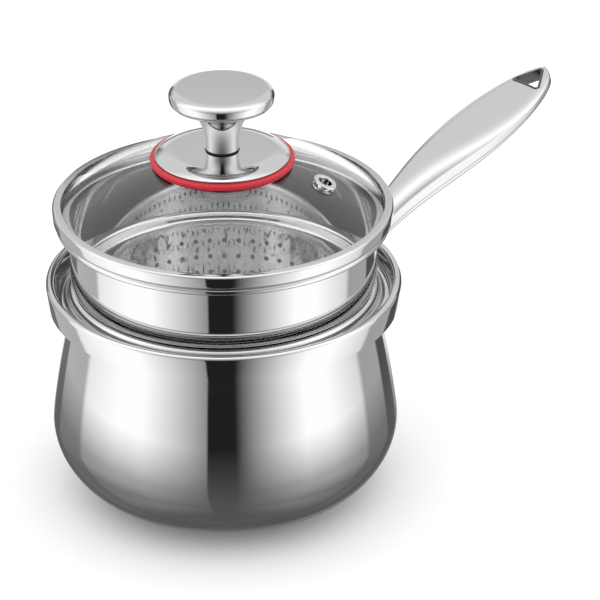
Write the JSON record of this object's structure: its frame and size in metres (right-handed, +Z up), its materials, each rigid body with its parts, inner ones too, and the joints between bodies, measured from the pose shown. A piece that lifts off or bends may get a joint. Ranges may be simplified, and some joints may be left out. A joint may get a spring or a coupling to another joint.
{
  "type": "steamer pot",
  "caption": "Bellied steel pot with a long hollow handle, a perforated steamer seated in its mouth and a domed glass lid with a steel rim and a mushroom knob.",
  "frame": {"origin": "centre of the flat underside, on the surface that the pot stands on", "axes": "+Z up along the pot's axis, +X along the handle away from the pot"},
  "size_m": [0.3638, 0.2, 0.2434],
  "materials": {
    "polished_steel": "mirror polished stainless steel",
    "satin_steel": "satin stainless steel",
    "core_aluminium": "plain rolled plate",
    "lid_glass": "clear tempered glass",
    "red_silicone": "matt red silicone",
    "black_silicone": "matt black"
  },
  "bodies": {
    "pot": {"base_cover": "polished_steel", "base_core_disc": "core_aluminium", "pot_body": "polished_steel", "handle_bracket": "satin_steel", "handle_upper_shell": "satin_steel", "handle_lower_shell": "satin_steel", "hang_hole_liner": "satin_steel"},
    "steamer": {"steamer_collar": "polished_steel", "steamer_basket": "polished_steel"},
    "lid": {"lid_rim": "polished_steel", "lid_glass": "lid_glass", "vent_eyelet": "polished_steel", "plate_ring": "red_silicone", "knob_plate": "polished_steel", "knob_foot": "polished_steel", "knob_spacer": "black_silicone", "knob_head": "satin_steel", "clamp_plate": "polished_steel", "screw_washer": "polished_steel", "knob_screw": "polished_steel"}
  },
  "joints": [
    {"name": "steamer_lift", "type": "slide", "parent": "pot", "child": "steamer", "axis": [0, 0, 1], "range_m": [0, 0.1]},
    {"name": "lid_lift", "type": "slide", "parent": "steamer", "child": "lid", "axis": [0, 0, 1], "range_m": [0, 0.1]}
  ]
}
